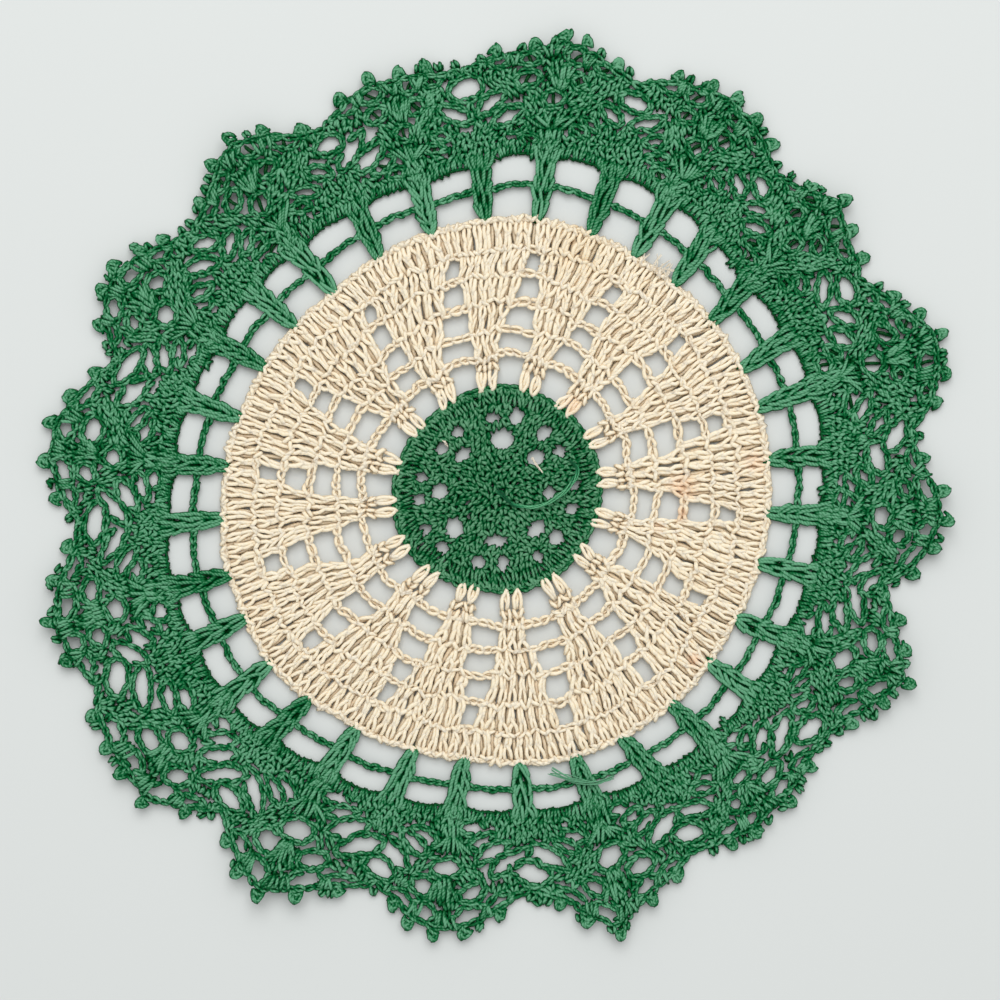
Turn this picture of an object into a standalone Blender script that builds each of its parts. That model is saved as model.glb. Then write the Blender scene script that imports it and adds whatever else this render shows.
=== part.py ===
# A round crocheted doily: a green middle, an ecru band and a green lace border.
# Metres, +Z up. The origin is the middle of the underside, which lies on z = 0.

from collections import namedtuple
from math import atan2, cos, degrees, hypot, pi, radians, sin

import bmesh
import bpy
from mathutils import Vector

MM = 0.001

# Driving sizes
THICKNESS = 1.8 * MM            # crochet in this yarn, pressed flat
GAP = 0.3 * MM                  # between two pieces of crochet
BAND_RADIUS = 70.7 * MM         # mean radius of the band's outer edge
MIDDLE_RADIUS = 26.7 * MM       # mean radius of the green middle
PICOT_HEIGHT = 3.0 * MM
PICOT_WIDTH = 3.4 * MM
YARN_DIAMETER = 1.0 * MM

# Rounds of the band: the mean radius of each chain bar that closes a row of gaps
BAND_BARS = (34.8 * MM, 41.6 * MM, 48.4 * MM, 55.4 * MM)
FIRST_GAP_TOP = 4.2 * MM        # width of the flat end of a gap in the first row
BAND_GAP_WIDTHS = (6.8 * MM, 6.2 * MM, 4.5 * MM)    # second, third and fourth row
BAND_BAR = 1.3 * MM
WEDGE_FOOT = 4.2 * MM           # width of a wedge of the band where it meets the middle
WEDGE_BEND = 6.6 * MM           # and where its first row ends
WEDGE_BEND_SHARE = 0.75

# Net of the border: 32 spokes and one chain round between the band and the lace
CHAIN_SHARE = 0.49              # where the chain lies, from the band's edge to the lace
CHAIN_BAR = 1.5 * MM
SPOKE_FOOT = 2.4 * MM
SPOKE_MIDDLE = 4.8 * MM
SPOKE_CHAIN = 5.6 * MM
SPOKE_TOP = 6.6 * MM

# Where a spoke's edges bend, as shares of the way from its foot to the chain
SPOKE_BENDS = (0.35, 0.8)

# Holes of the green middle
INNER_EYELETS = 13.5 * MM       # their distance from the centre
OUTER_EYELETS = 19.5 * MM
INNER_EYELET_SIZE = (5.6 * MM, 4.8 * MM)
OUTER_EYELET_SIZE = (4.3 * MM, 3.7 * MM)

BAND_STEPS = 144                # points on the band's outer edge
MIDDLE_STEPS = 96
LACE_HOLE_STEPS = 8
EYELET_STEPS = 10
CORNER = 0.28                   # how much of a side a cut corner takes

# The points of a picot, as shares of half its width and of its height, from its end down
PICOT_PROFILE = ((-1, 1), (-0.8, 0.3), (0, 0), (0.8, 0.3), (1, 1))

# Base colours, linear
GREEN = (0.030, 0.235, 0.095, 1.0)
ECRU = (0.80, 0.70, 0.55, 1.0)

# One row for each scallop, counter-clockwise from +X. Angles are in degrees, the rest in mm.
# A scallop stands on two spokes, one under its fan and one under the valley that follows it:
# each spoke has a foot on the band and a top in the lace, and the fan and the valley then run
# on to their tips. band and net are the radii of the band's edge and of the lace's inner edge
# at the fan, valley_reach is the valley's own radius, and lift is how far the fan curls up.
# Each picot is an angle and the radius of its end.
Scallop = namedtuple("Scallop", "fan_foot fan_top fan_tip valley_foot valley_top valley_tip "
                                "band net valley_reach lift picots")
SCALLOPS = (
    Scallop(17.1, 17.7, 18.0, 25.9, 27.5, 30.0, 71.0, 86.3, 109.2, 1.0,
            ((11, 117.8), (14.5, 121.7), (19.2, 123.8), (22.2, 120.4), (26, 116.2))),
    Scallop(37.8, 39.4, 39.5, 49.0, 50.0, 48.5, 70.9, 84.8, 109.0, 2.5,
            ((32.3, 113.9), (36, 115.2), (40, 118.6), (44, 114.4))),
    Scallop(59.3, 59.5, 59.0, 69.9, 70.0, 70.5, 70.3, 87.6, 111.8, 1.0,
            ((51.8, 116.0), (55, 118.8), (58.5, 120.6), (62, 120.1), (66.5, 118.6))),
    Scallop(81.5, 81.5, 81.0, 92.7, 93.1, 95.0, 70.9, 88.1, 109.2, 2.0,
            ((74, 116.0), (78.6, 119.6), (81.7, 120.1), (85, 117.3), (90.5, 115.2))),
    Scallop(104.6, 104.5, 104.0, 117.1, 116.7, 116.0, 68.7, 82.2, 104.0, 1.5,
            ((99.5, 112.3), (103.5, 112.4), (107.5, 113.1), (112, 110.8))),
    Scallop(129.7, 130.4, 128.0, 141.3, 141.1, 140.0, 66.6, 81.6, 103.5, 3.5,
            ((119.4, 107.9), (123.2, 112.3), (127.5, 115.7), (131.5, 113.4), (136, 108.9))),
    Scallop(152.6, 152.5, 151.5, 164.8, 164.2, 161.0, 68.5, 82.7, 105.0, 2.0,
            ((143.4, 110.2), (146.4, 113.1), (150, 116.5), (153.5, 116.5), (157.6, 113.4))),
    Scallop(175.4, 175.8, 174.0, 186.4, 186.2, 184.5, 71.0, 85.0, 109.5, 1.0,
            ((164.2, 110.8), (168, 115.2), (171.5, 119.3), (176.5, 119.6), (181.4, 116.5))),
    Scallop(198.0, 197.2, 197.0, 207.4, 207.0, 206.3, 73.5, 88.7, 116.7, 3.0,
            ((187.8, 114.4), (192, 119.3), (197, 123.2), (202, 122.2))),
    Scallop(217.6, 217.7, 219.0, 228.3, 227.4, 229.5, 74.9, 89.7, 110.8, 2.0,
            ((209.5, 122.7), (213.6, 123.8), (217.4, 124.3), (221.6, 124.8), (226, 118.8))),
    Scallop(239.6, 238.9, 239.5, 252.4, 251.0, 253.0, 72.5, 86.6, 108.2, 4.0,
            ((232.6, 117.5), (236, 121.9), (239.2, 124.0), (243.5, 119.6), (248.5, 114.1))),
    Scallop(263.0, 262.3, 261.5, 274.6, 274.7, 275.0, 71.2, 84.5, 105.0, 1.5,
            ((255.6, 113.4), (258.5, 117.0), (261.8, 118.8), (266, 117.5), (270.5, 112.3))),
    Scallop(285.8, 287.3, 286.0, 296.3, 299.1, 299.0, 72.9, 85.3, 107.6, 2.5,
            ((278.7, 110.8), (282, 116.5), (285.5, 121.4), (290.6, 115.7), (295, 112.6))),
    Scallop(308.7, 310.1, 309.0, 320.4, 321.2, 322.7, 72.5, 85.8, 107.1, 1.5,
            ((303, 112.3), (307, 113.4), (313, 113.1), (318, 110.5))),
    Scallop(331.2, 332.5, 334.0, 344.0, 344.5, 346.0, 71.0, 84.5, 104.5, 3.0,
            ((326.5, 112.1), (331, 116.0), (334.5, 119.6), (338.5, 115.2), (342, 111.5))),
    Scallop(354.7, 355.2, 356.0, 365.9, 365.9, 368.3, 71.0, 85.0, 109.7, 4.0,
            ((348.6, 112.1), (352, 115.7), (356, 118.3), (359.5, 117.0), (364, 112.6))),
)

# The largest holes of one repeat of the lace. across runs from -1 at the valley before the fan
# to +1 at the valley after it, and share from 0 at the net to 1 at the edge under the picots.
# A long hole rises by climb from its outer end to the end nearer to the fan.
LaceHole = namedtuple("LaceHole", "across share half_width half_height climb")
LACE_HOLES = (
    LaceHole(1.00, 0.77, 0.17, 0.080, 0.00),
    LaceHole(0.76, 0.54, 0.17, 0.055, 0.05),
    LaceHole(-0.76, 0.54, 0.17, 0.055, 0.05),
    LaceHole(0.56, 0.38, 0.15, 0.042, 0.04),
    LaceHole(0.04, 0.48, 0.11, 0.058, 0.00),
    LaceHole(0.34, 0.70, 0.11, 0.055, 0.00),
    LaceHole(-0.23, 0.68, 0.11, 0.060, 0.00),
    LaceHole(0.33, 0.89, 0.12, 0.042, 0.00),
    LaceHole(-0.17, 0.89, 0.12, 0.042, 0.00),
)

# One row for each column of gaps in the band: its angle at the first and the last row
BandColumn = namedtuple("BandColumn", "inner outer")
BAND_COLUMNS = (
    BandColumn(16.5, 16.3), BandColumn(37.8, 38.5), BandColumn(62.0, 60.0),
    BandColumn(84.0, 81.5), BandColumn(108.8, 102.5), BandColumn(131.0, 127.0),
    BandColumn(156.8, 153.0), BandColumn(179.0, 176.5), BandColumn(200.4, 198.8),
    BandColumn(221.0, 219.8), BandColumn(241.8, 241.7), BandColumn(265.8, 263.4),
    BandColumn(289.2, 287.0), BandColumn(311.0, 309.2), BandColumn(333.2, 331.5),
    BandColumn(354.8, 353.0),
)

# One row for each hole round the middle's core, with the two smaller holes outside it
Eyelets = namedtuple("Eyelets", "inner first second")
EYELETS = (
    Eyelets(0, -12.0, 1.4), Eyelets(40, 31.8, 48.7), Eyelets(84, 75.0, 93.5),
    Eyelets(133, 123.8, 142.6), Eyelets(179, 170.6, 187.0), Eyelets(219, 209.3, 227.1),
    Eyelets(268, 256.0, 275.7), Eyelets(314, 303.4, 322.0),
)

# Route of the yarn left loose on the middle, from where it leaves the crochet, with its
# height above the crochet
YARN_ROUTE = (
    (-0.2, -0.6, 0.0), (2.4, -2.9, 0.2), (4.7, -4.4, 0.6), (9.4, -4.7, 1.1),
    (14.4, -3.1, 1.2), (18.8, 0.4, 0.9), (20.7, 4.6, 0.5), (18.6, 7.1, 0.1),
)
YARN_POINTS = 14


def at(radius, angle):
    return Vector((radius * cos(radians(angle)), radius * sin(radians(angle))))


def eased(knots, angle):
    """The value at an angle of a closed round of (angle, value) knots, eased between them."""
    first = knots[0][0]
    angle = first + (angle - first) % 360
    ring = list(knots) + [(first + 360, knots[0][1])]
    for (start, low), (end, high) in zip(ring, ring[1:]):
        if angle <= end:
            part = (angle - start) / (end - start)
            part = part * part * (3 - 2 * part)
            return low + (high - low) * part
    return ring[-1][1]


def straight(knots, angle):
    """The same with straight lines between the knots."""
    first = knots[0][0]
    angle = first + (angle - first) % 360
    ring = list(knots) + [(first + 360, knots[0][1])]
    for (start, low), (end, high) in zip(ring, ring[1:]):
        if angle <= end:
            return low + (high - low) * (angle - start) / (end - start)
    return ring[-1][1]


def band_edge(angle):
    return eased([(row.fan_foot, row.band * MM) for row in SCALLOPS], angle)


def net_edge(angle):
    return eased([(row.fan_top, row.net * MM) for row in SCALLOPS], angle)


def pull(angle):
    """How far the doily is drawn out of round at an angle, as a share of the radius."""
    return band_edge(angle) / BAND_RADIUS


def edge_knots():
    """The border's edge under its picots, one knot for each picot and valley."""
    knots = []
    for row in SCALLOPS:
        knots += [(angle, reach * MM - PICOT_HEIGHT) for angle, reach in row.picots]
        knots.append((row.valley_tip, row.valley_reach * MM))
    return knots


EDGE_KNOTS = edge_knots()


def blend(start, end, share):
    return start + (end - start) * share


def lace_place(index, across, share):
    """Radius and angle of a point of the lace, by scallop, across and share."""
    if across > 1:
        index, across = index + 1, across - 2
    elif across < -1:
        index, across = index - 1, across + 2
    row = SCALLOPS[index % len(SCALLOPS)]
    fan = blend(row.fan_top, row.fan_tip, share)
    if across >= 0:
        valley = blend(row.valley_top, row.valley_tip, share)
        angle = blend(fan, valley, across)
    else:
        before = SCALLOPS[(index - 1) % len(SCALLOPS)]
        valley = blend(before.valley_top, before.valley_tip, share)
        angle = fan - ((fan - valley) % 360) * -across
    radius = blend(net_edge(angle), straight(EDGE_KNOTS, angle), share)
    return radius, angle


def lift_at(x, y):
    """Height that the border curls up to at a point: nothing in the net and the valleys."""
    radius = hypot(x, y)
    angle = degrees(atan2(y, x))
    knots = []
    for row in SCALLOPS:
        knots += [(row.fan_tip, row.lift * MM), (row.valley_tip, 0.0)]
    net = net_edge(angle)
    share = (radius - net) / (straight(EDGE_KNOTS, angle) - net)
    share = min(max(share, 0.0), 1.2)
    return eased(knots, angle) * share ** 1.5


def cut_corners(left, right, low, high):
    """Eight points of a gap with cut corners, from its four sides. left and right are angles
    at low and at high, and low and high are radii."""
    points = []
    for across, up in ((CORNER, 0), (1 - CORNER, 0), (1, CORNER), (1, 1 - CORNER),
                       (1 - CORNER, 1), (CORNER, 1), (0, 1 - CORNER), (0, CORNER)):
        start = blend(left[0], left[1], up)
        end = blend(right[0], right[1], up)
        points.append(at(blend(low, high, up), blend(start, end, across)))
    return points


def half_angle(width, radius):
    return degrees(width / 2 / radius)


def spokes():
    """The spokes of the net as (foot, top) angles, in order."""
    row_spokes = []
    for row in SCALLOPS:
        row_spokes += [(row.fan_foot, row.fan_top), (row.valley_foot, row.valley_top)]
    return row_spokes


def chain_radius(angle):
    return blend(band_edge(angle), net_edge(angle), CHAIN_SHARE)


def border_outer():
    """The scalloped edge, from valley to valley over the picots."""
    outline = []
    for row in SCALLOPS:
        for angle, reach in row.picots:
            top = reach * MM
            half = half_angle(PICOT_WIDTH, top)
            for side, drop in PICOT_PROFILE:
                outline.append(at(top - drop * PICOT_HEIGHT, angle + side * half))
        outline.append(at(row.valley_reach * MM, row.valley_tip))
    return outline


def border_inner():
    """The spokes' feet on the band, with the lower gaps of the net between them."""
    outline = []
    ring = spokes()
    for index, (foot, top) in enumerate(ring):
        following = ring[(index + 1) % len(ring)][0]
        following = foot + (following - foot) % 360
        base = band_edge(foot) + GAP
        bar = chain_radius(foot) - CHAIN_BAR / 2
        at_bar = blend(foot, top, CHAIN_SHARE)
        steps = ((base, foot, SPOKE_FOOT),
                 (blend(base, bar, SPOKE_BENDS[0]), foot, SPOKE_MIDDLE),
                 (blend(base, bar, SPOKE_BENDS[1]), at_bar, SPOKE_CHAIN))
        for radius, angle, width in reversed(steps):
            outline.append(at(radius, angle - half_angle(width, radius)))
        for radius, angle, width in steps:
            outline.append(at(radius, angle + half_angle(width, radius)))
        for share in (CORNER, 1 - CORNER):
            angle = blend(foot, following, share)
            outline.append(at(chain_radius(angle) - CHAIN_BAR / 2, angle))
    return outline


def net_gaps():
    """The upper gaps of the net, between the chain and the lace."""
    gaps = []
    ring = spokes()
    for index, (foot, top) in enumerate(ring):
        next_foot, next_top = ring[(index + 1) % len(ring)]
        middle = top + (next_top - top) % 360 / 2
        low = chain_radius(middle) + CHAIN_BAR / 2
        high = net_edge(middle)
        near = blend(foot, top, CHAIN_SHARE)
        far = near + (blend(next_foot, next_top, CHAIN_SHARE) - near) % 360
        left = (near + half_angle(SPOKE_CHAIN, low), top + half_angle(SPOKE_TOP, high))
        right = (far - half_angle(SPOKE_CHAIN, low),
                 top + (next_top - top) % 360 - half_angle(SPOKE_TOP, high))
        gaps.append(cut_corners(left, right, low, high))
    return gaps


def lace_gaps():
    gaps = []
    for index in range(len(SCALLOPS)):
        for hole in LACE_HOLES:
            toward_fan = -1 if hole.across > 0 else 1
            points = []
            for step in range(LACE_HOLE_STEPS):
                turn = 2 * pi * (step + 0.5) / LACE_HOLE_STEPS
                side = cos(turn)
                across = hole.across + hole.half_width * side
                share = hole.share + hole.half_height * sin(turn)
                share += hole.climb * side * toward_fan
                points.append(at(*lace_place(index, across, share)))
            gaps.append(points)
    return gaps


def band_outer():
    outline = []
    for step in range(BAND_STEPS):
        angle = 360 * step / BAND_STEPS
        outline.append(at(band_edge(angle), angle))
    return outline


def column_angle(column, radius):
    share = (radius - MIDDLE_RADIUS) / (BAND_BARS[-1] - MIDDLE_RADIUS)
    return blend(column.inner, column.outer, share)


def band_inner():
    """The wedges' feet on the middle, with the first row of gaps between them."""
    outline = []
    top = BAND_BARS[0] - BAND_BAR / 2
    for index, column in enumerate(BAND_COLUMNS):
        following = BAND_COLUMNS[(index + 1) % len(BAND_COLUMNS)].inner
        wedge = column.inner + (following - column.inner) % 360 / 2
        for side in (-1, 0, 1):
            angle = column.inner + side * half_angle(FIRST_GAP_TOP, top)
            outline.append(at(top * pull(angle), angle))
        for side, share, width in ((-1, WEDGE_BEND_SHARE, WEDGE_BEND), (-1, 0, WEDGE_FOOT),
                                   (1, 0, WEDGE_FOOT), (1, WEDGE_BEND_SHARE, WEDGE_BEND)):
            radius = blend(MIDDLE_RADIUS + GAP, top, share)
            angle = wedge + side * half_angle(width, radius)
            outline.append(at(radius * pull(angle), angle))
    return outline


def band_gaps():
    gaps = []
    rows = zip(BAND_BARS, BAND_BARS[1:], BAND_GAP_WIDTHS)
    for low, high, width in rows:
        for column in BAND_COLUMNS:
            low_edge = low + BAND_BAR / 2
            high_edge = high - BAND_BAR / 2
            near = column_angle(column, low_edge)
            far = column_angle(column, high_edge)
            half = (half_angle(width, low_edge), half_angle(width, high_edge))
            drawn = pull(near)
            gaps.append(cut_corners((near - half[0], far - half[1]),
                                    (near + half[0], far + half[1]),
                                    low_edge * drawn, high_edge * drawn))
    return gaps


def middle_outer():
    outline = []
    for step in range(MIDDLE_STEPS):
        angle = 360 * step / MIDDLE_STEPS
        outline.append(at(MIDDLE_RADIUS * pull(angle), angle))
    return outline


def eyelet(angle, distance, size):
    """An oval hole of the middle."""
    points = []
    width, height = size
    for step in range(EYELET_STEPS):
        turn = 2 * pi * step / EYELET_STEPS
        radius = (distance + height / 2 * sin(turn)) * pull(angle)
        points.append(at(radius, angle + half_angle(width, distance) * cos(turn)))
    return points


def middle_gaps():
    gaps = []
    for row in EYELETS:
        gaps.append(eyelet(row.inner, INNER_EYELETS, INNER_EYELET_SIZE))
        gaps.append(eyelet(row.first, OUTER_EYELETS, OUTER_EYELET_SIZE))
        gaps.append(eyelet(row.second, OUTER_EYELETS, OUTER_EYELET_SIZE))
    return gaps


def yarn_material(name, colour):
    material = bpy.data.materials.new(name)
    material.use_nodes = True
    shader = material.node_tree.nodes["Principled BSDF"]
    shader.inputs["Base Color"].default_value = colour
    shader.inputs["Roughness"].default_value = 0.75
    shader.inputs["Metallic"].default_value = 0.0
    return material


def is_level(face):
    heights = [vertex.co.z for vertex in face.verts]
    return max(heights) - min(heights) < THICKNESS / 10


def as_mesh_object(curve_object, collection, even_faces=False):
    """Swap a curve object for a welded mesh object of the same name and place. Flat faces
    can be evened out, so that the sheet bends smoothly."""
    graph = bpy.context.evaluated_depsgraph_get()
    mesh = bpy.data.meshes.new_from_object(curve_object.evaluated_get(graph))
    welder = bmesh.new()
    welder.from_mesh(mesh)
    bmesh.ops.remove_doubles(welder, verts=welder.verts, dist=1e-6)
    bmesh.ops.recalc_face_normals(welder, faces=welder.faces)
    if even_faces:
        level = {face for face in welder.faces if is_level(face)}
        inner = [edge for edge in welder.edges if level.issuperset(edge.link_faces)]
        bmesh.ops.beautify_fill(welder, faces=list(level), edges=inner, method="AREA")
    welder.to_mesh(mesh)
    welder.free()
    name = curve_object.name
    place = curve_object.matrix_world.copy()
    bpy.data.objects.remove(curve_object)
    piece = bpy.data.objects.new(name, mesh)
    piece.matrix_world = place
    collection.objects.link(piece)
    return piece


def crochet_sheet(name, outlines, material, collection):
    """A flat piece of crochet: its outer outline with the gaps inside it."""
    curve = bpy.data.curves.new(name, "CURVE")
    curve.dimensions = "2D"
    curve.fill_mode = "BOTH"
    curve.extrude = THICKNESS / 2
    curve.materials.append(material)
    for outline in outlines:
        spline = curve.splines.new("POLY")
        spline.points.add(len(outline) - 1)
        for point, place in zip(spline.points, outline):
            point.co = (place.x, place.y, 0, 1)
        spline.use_cyclic_u = True
    flat = bpy.data.objects.new(name, curve)
    flat.location.z = THICKNESS / 2
    collection.objects.link(flat)
    bpy.context.view_layer.update()
    return as_mesh_object(flat, collection, even_faces=True)


def curl(piece):
    """Lift the fans of the border off the table."""
    for vertex in piece.data.vertices:
        vertex.co.z += lift_at(vertex.co.x, vertex.co.y)


def smooth_route(points, count):
    """Evenly numbered points on a Catmull-Rom curve through the given ones."""
    ends = [2 * points[0] - points[1]] + points + [2 * points[-1] - points[-2]]
    route = []
    for step in range(count):
        place = step / (count - 1) * (len(points) - 1)
        index = min(int(place), len(points) - 2)
        t = place - index
        a, b, c, d = ends[index:index + 4]
        route.append(0.5 * (2 * b + (c - a) * t + (2 * a - 5 * b + 4 * c - d) * t * t
                            + (3 * b - a - 3 * c + d) * t ** 3))
    return route


def loose_yarn(name, material, collection):
    curve = bpy.data.curves.new(name, "CURVE")
    curve.dimensions = "3D"
    curve.bevel_depth = YARN_DIAMETER / 2
    curve.bevel_resolution = 2
    curve.use_fill_caps = True
    curve.materials.append(material)
    rest = THICKNESS + GAP + YARN_DIAMETER / 2
    corners = [Vector((x * MM, y * MM, rest + z * MM)) for x, y, z in YARN_ROUTE]
    route = smooth_route(corners, YARN_POINTS)
    spline = curve.splines.new("POLY")
    spline.points.add(len(route) - 1)
    for point, place in zip(spline.points, route):
        point.co = (*place, 1)
    yarn = bpy.data.objects.new(name, curve)
    collection.objects.link(yarn)
    bpy.context.view_layer.update()
    yarn = as_mesh_object(yarn, collection)
    yarn.data.shade_smooth()
    return yarn


def main():
    for item in list(bpy.data.objects):
        bpy.data.objects.remove(item)
    doily = bpy.data.collections.new("lace_doily")
    bpy.context.scene.collection.children.link(doily)
    green = yarn_material("green_yarn", GREEN)
    ecru = yarn_material("ecru_yarn", ECRU)
    border_green = yarn_material("green_yarn_border", GREEN)
    end_green = yarn_material("green_yarn_end", GREEN)

    crochet_sheet("centre", [middle_outer()] + middle_gaps(), green, doily)
    crochet_sheet("band", [band_outer(), band_inner()] + band_gaps(), ecru, doily)
    border = crochet_sheet("border", [border_outer(), border_inner()] + net_gaps()
                           + lace_gaps(), border_green, doily)
    curl(border)
    loose_yarn("yarn_end", end_green, doily)


main()
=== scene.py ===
from collections import namedtuple
from itertools import pairwise
from math import cos, degrees, hypot, pi, radians, sin

import bpy
import numpy as np
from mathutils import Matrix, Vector
from numpy.linalg import inv, norm


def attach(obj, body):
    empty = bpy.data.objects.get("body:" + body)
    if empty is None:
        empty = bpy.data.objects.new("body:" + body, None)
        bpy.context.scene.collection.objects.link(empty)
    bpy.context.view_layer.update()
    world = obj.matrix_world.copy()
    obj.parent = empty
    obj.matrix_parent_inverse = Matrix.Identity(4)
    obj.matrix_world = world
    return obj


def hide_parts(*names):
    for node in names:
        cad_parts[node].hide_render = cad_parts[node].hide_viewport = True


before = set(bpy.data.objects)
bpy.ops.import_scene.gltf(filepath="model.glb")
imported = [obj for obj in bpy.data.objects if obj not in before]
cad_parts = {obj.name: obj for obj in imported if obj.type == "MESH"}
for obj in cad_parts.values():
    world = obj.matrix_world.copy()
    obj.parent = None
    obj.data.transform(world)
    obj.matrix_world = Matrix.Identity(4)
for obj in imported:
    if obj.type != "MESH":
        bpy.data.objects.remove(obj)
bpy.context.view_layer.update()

mm = 0.001

# What every piece of the doily shares. Lengths are in metres, angles in degrees.
doily = {
    "thickness": 1.8 * mm,
    "bandRadius": 70.7 * mm,  # mean radius of the ecru band
    "picotHeight": 3.0 * mm,
    "chainShare": 0.49,  # where the chain round lies between the band and the lace
    "belly": (60 * mm, 88 * mm, 0.9 * mm),  # it bellies up inside these radii, by this much
    "curl": (1.5, 1.2),  # how steeply the fans curl up, and how far past their edge
    # how the rounds stray in x and in y: how far, wave length, direction, phase
    "stray": (((0.42, 23, 20, 0.4), (0.30, 15, 115, 2.0), (0.16, 9, 70, 4.1)),
              ((0.42, 25, 105, 1.1), (0.30, 14, 30, 5.2), (0.16, 8, 150, 0.8))),
    # how freely, between which radii, and over what distance that fades
    "free": ((0.6, -6 * mm, 22 * mm), (1.0, 28 * mm, 68 * mm), (0.7, 88 * mm, 114 * mm)),
    "fade": 6 * mm,
}

# One row for each scallop, counter-clockwise from the right, as the solids have it: angles in
# degrees, radii and lift in millimetres, and the angle and radius of each picot
Scallop = namedtuple("Scallop", "fanFoot fanTop fanTip valleyFoot valleyTop valleyTip "
                                "band net valleyReach lift picots")
scallops = [Scallop(*row) for row in (
    (17.1, 17.7, 18, 25.9, 27.5, 30, 71, 86.3, 109.2, 1,
     ((11, 117.8), (14.5, 121.7), (19.2, 123.8), (22.2, 120.4), (26, 116.2))),
    (37.8, 39.4, 39.5, 49, 50, 48.5, 70.9, 84.8, 109, 2.5,
     ((32.3, 113.9), (36, 115.2), (40, 118.6), (44, 114.4))),
    (59.3, 59.5, 59, 69.9, 70, 70.5, 70.3, 87.6, 111.8, 1,
     ((51.8, 116), (55, 118.8), (58.5, 120.6), (62, 120.1), (66.5, 118.6))),
    (81.5, 81.5, 81, 92.7, 93.1, 95, 70.9, 88.1, 109.2, 2,
     ((74, 116), (78.6, 119.6), (81.7, 120.1), (85, 117.3), (90.5, 115.2))),
    (104.6, 104.5, 104, 117.1, 116.7, 116, 68.7, 82.2, 104, 1.5,
     ((99.5, 112.3), (103.5, 112.4), (107.5, 113.1), (112, 110.8))),
    (129.7, 130.4, 128, 141.3, 141.1, 140, 66.6, 81.6, 103.5, 3.5,
     ((119.4, 107.9), (123.2, 112.3), (127.5, 115.7), (131.5, 113.4), (136, 108.9))),
    (152.6, 152.5, 151.5, 164.8, 164.2, 161, 68.5, 82.7, 105, 2,
     ((143.4, 110.2), (146.4, 113.1), (150, 116.5), (153.5, 116.5), (157.6, 113.4))),
    (175.4, 175.8, 174, 186.4, 186.2, 184.5, 71, 85, 109.5, 1,
     ((164.2, 110.8), (168, 115.2), (171.5, 119.3), (176.5, 119.6), (181.4, 116.5))),
    (198, 197.2, 197, 207.4, 207, 206.3, 73.5, 88.7, 116.7, 3,
     ((187.8, 114.4), (192, 119.3), (197, 123.2), (202, 122.2))),
    (217.6, 217.7, 219, 228.3, 227.4, 229.5, 74.9, 89.7, 110.8, 2,
     ((209.5, 122.7), (213.6, 123.8), (217.4, 124.3), (221.6, 124.8), (226, 118.8))),
    (239.6, 238.9, 239.5, 252.4, 251, 253, 72.5, 86.6, 108.2, 4,
     ((232.6, 117.5), (236, 121.9), (239.2, 124), (243.5, 119.6), (248.5, 114.1))),
    (263, 262.3, 261.5, 274.6, 274.7, 275, 71.2, 84.5, 105, 1.5,
     ((255.6, 113.4), (258.5, 117), (261.8, 118.8), (266, 117.5), (270.5, 112.3))),
    (285.8, 287.3, 286, 296.3, 299.1, 299, 72.9, 85.3, 107.6, 2.5,
     ((278.7, 110.8), (282, 116.5), (285.5, 121.4), (290.6, 115.7), (295, 112.6))),
    (308.7, 310.1, 309, 320.4, 321.2, 322.7, 72.5, 85.8, 107.1, 1.5,
     ((303, 112.3), (307, 113.4), (313, 113.1), (318, 110.5))),
    (331.2, 332.5, 334, 344, 344.5, 346, 71, 84.5, 104.5, 3,
     ((326.5, 112.1), (331, 116), (334.5, 119.6), (338.5, 115.2), (342, 111.5))),
    (354.7, 355.2, 356, 365.9, 365.9, 368.3, 71, 85, 109.7, 4,
     ((348.6, 112.1), (352, 115.7), (356, 118.3), (359.5, 117), (364, 112.6))),
)]


def blend(start, end, share):
    return start + (end - start) * share


def smooth(share):
    return share * share * (3 - 2 * share)


def quarterTurn(vectors):
    # flat vectors turned to the left by a right angle
    return np.stack([-vectors[..., 1], vectors[..., 0]], axis=-1)


def ringValue(knots, angle, ease):
    # the value at an angle of a closed round of (angle, value) knots
    first = knots[0][0]
    angle = first + (angle - first) % 360
    ring = knots + [(first + 360, knots[0][1])]
    for (start, low), (end, high) in pairwise(ring):
        if angle <= end:
            part = (angle - start) / (end - start)
            return blend(low, high, smooth(part) if ease else part)
    return ring[-1][1]


bandKnots = [(row.fanFoot, row.band * mm) for row in scallops]
netKnots = [(row.fanTop, row.net * mm) for row in scallops]
edgeKnots = []
liftKnots = []
for row in scallops:
    edgeKnots += [(angle, reach * mm - doily["picotHeight"]) for angle, reach in row.picots]
    edgeKnots.append((row.valleyTip, row.valleyReach * mm))
    liftKnots += [(row.fanTip, row.lift * mm), (row.valleyTip, 0.0)]


def bandEdge(angle):
    return ringValue(bandKnots, angle, True)


def netEdge(angle):
    return ringValue(netKnots, angle, True)


def onDoily(angle, radius):
    # a point halfway through the crochet's thickness, lifted as the fans curl up
    net = netEdge(angle)
    share = (radius - net) / (ringValue(edgeKnots, angle, False) - net)
    steepness, furthest = doily["curl"]
    lift = ringValue(liftKnots, angle, True) * min(max(share, 0.0), furthest) ** steepness
    start, end, rise = doily["belly"]
    away = min(max((radius - start) / (end - start), 0.0), 1.0)
    lift += rise * (1 - smooth(away))
    turn = radians(angle)
    return np.array((radius * cos(turn), radius * sin(turn), doily["thickness"] / 2 + lift))


def onRound(angle, radius):
    # the same, by radius in millimetres on a doily that isn't drawn out of round
    return onDoily(angle, radius * mm * (bandEdge(angle) / doily["bandRadius"]))


def heightAt(point):
    return onDoily(degrees(np.arctan2(point[1], point[0])), hypot(*point))[2]


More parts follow.
